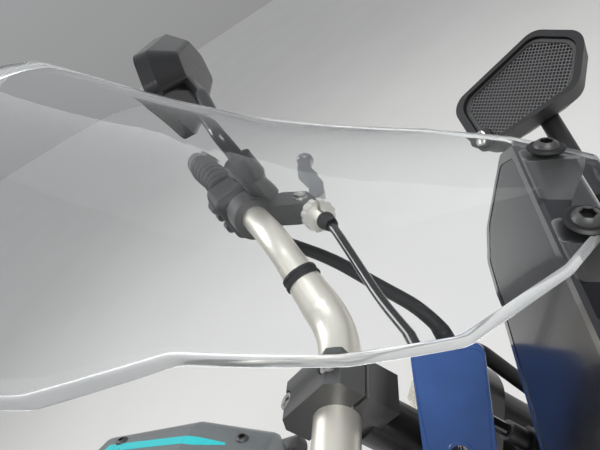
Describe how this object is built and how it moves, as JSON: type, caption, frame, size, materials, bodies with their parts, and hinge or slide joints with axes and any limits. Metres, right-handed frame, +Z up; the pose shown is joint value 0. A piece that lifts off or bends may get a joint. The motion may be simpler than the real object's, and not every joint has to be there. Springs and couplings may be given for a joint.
{
  "type": "motorcycle cockpit",
  "caption": "Motorcycle front cockpit: steering head, yokes, swept handlebar with controls, mirrors, instrument, lamps and clear fly screen.",
  "frame": {"origin": "centre of the four bolt holes in the steering head casting's rear face, where the frame's two beams join", "axes": "+X forward, +Y the rider's left, +Z up, as on a level machine"},
  "size_m": [0.503, 0.88, 0.7428],
  "materials": {
    "black_alloy": "satin black paint on cast alloy",
    "frame_alloy": "satin dark paint on cast alloy",
    "bar_alloy": "satin cream-silver anodised finish",
    "bearing_steel": "ground steel",
    "bright_steel": "bright turned metal",
    "fork_tube": "dark anodised tube",
    "cap_alloy": "cream-silver anodised aluminium",
    "lever_alloy": "satin silver aluminium",
    "grip_rubber": "ribbed rubber",
    "bar_end": "black weight",
    "switch_plastic": "grained dark plastic",
    "cable_jacket": "glossy black jacket",
    "hose_rubber": "ribbed black sleeve",
    "bracket_steel": "black painted steel",
    "lock_metal": "dark lock barrel",
    "tag_clear": "translucent blue plastic",
    "reservoir_amber": "smoke amber plastic",
    "lid_plastic": "black moulded lid",
    "mirror_plastic": "dark moulded shell",
    "mirror_face": "silvered glass",
    "dash_gloss": "gloss black housing",
    "dash_glass": "dark display face",
    "screen_clear": "clear polished sheet",
    "inner_plastic": "grained black panel",
    "socket_rubber": "black rubber cap",
    "scoop_plastic": "black moulded scoop",
    "grille_black": "black woven grille",
    "lamp_shell": "black lamp shell",
    "lamp_lens": "clear lens",
    "panel_grey": "satin grey painted panel"
  },
  "bodies": {
    "frame_side": {"steering_head": "frame_alloy", "head_bearings": "bearing_steel", "front_stay": "black_alloy", "instrument_housing": "dash_gloss", "instrument_glass": "dash_glass", "windscreen": "screen_clear", "screen_brackets": "bracket_steel", "inner_cover": "inner_plastic", "accessory_socket": "socket_rubber", "side_scoop_left": "scoop_plastic", "side_scoop_right": "scoop_plastic", "side_grille_left": "grille_black", "side_grille_right": "grille_black", "headlamp_left": "lamp_shell", "headlamp_right": "lamp_shell", "headlamp_lenses": "lamp_lens", "tank_cover": "panel_grey", "tank_side_left": "panel_grey", "tank_side_right": "panel_grey", "cover_bracket": "bracket_steel"},
    "steering": {"bar_risers": "black_alloy", "bar_weights": "bar_end", "brake_hose": "hose_rubber", "brake_lever": "lever_alloy", "brake_master": "black_alloy", "brake_reservoir": "reservoir_amber", "cable_stop": "bracket_steel", "clamp_caps": "black_alloy", "clutch_adjuster": "bright_steel", "clutch_cable": "cable_jacket", "clutch_lever": "lever_alloy", "clutch_perch": "black_alloy", "fork_caps": "cap_alloy", "fork_tube_left": "fork_tube", "fork_tube_right": "fork_tube", "grip_left": "grip_rubber", "grip_right": "grip_rubber", "handlebar": "bar_alloy", "harness": "hose_rubber", "ignition_lock": "lock_metal", "key": "bright_steel", "key_tag": "tag_clear", "lower_yoke": "black_alloy", "reservoir_lid": "lid_plastic", "stem_nut": "bright_steel", "switch_left": "switch_plastic", "switch_right": "switch_plastic", "top_yoke": "black_alloy"},
    "mirror_left": {"mirror_arm_left": "mirror_plastic", "mirror_head_left": "mirror_plastic", "mirror_glass_left": "mirror_face"},
    "mirror_right": {"mirror_arm_right": "mirror_plastic", "mirror_head_right": "mirror_plastic", "mirror_glass_right": "mirror_face"}
  },
  "joints": [
    {"name": "steering", "type": "hinge", "parent": "frame_side", "child": "steering", "pos_m": [0.08003, 0, -0.00457], "axis": [-0.4067, 0, 0.9135], "range_deg": [-26, 26]},
    {"name": "mirror_left", "type": "hinge", "parent": "steering", "child": "mirror_left", "pos_m": [-0.01766, 0.21887, 0.28871], "axis": [0.0083, -0.0142, 0.9999], "range_deg": [-20, 20]},
    {"name": "mirror_right", "type": "hinge", "parent": "steering", "child": "mirror_right", "pos_m": [-0.01766, -0.21887, 0.28871], "axis": [0.0083, 0.0142, 0.9999], "range_deg": [-20, 20]}
  ]
}
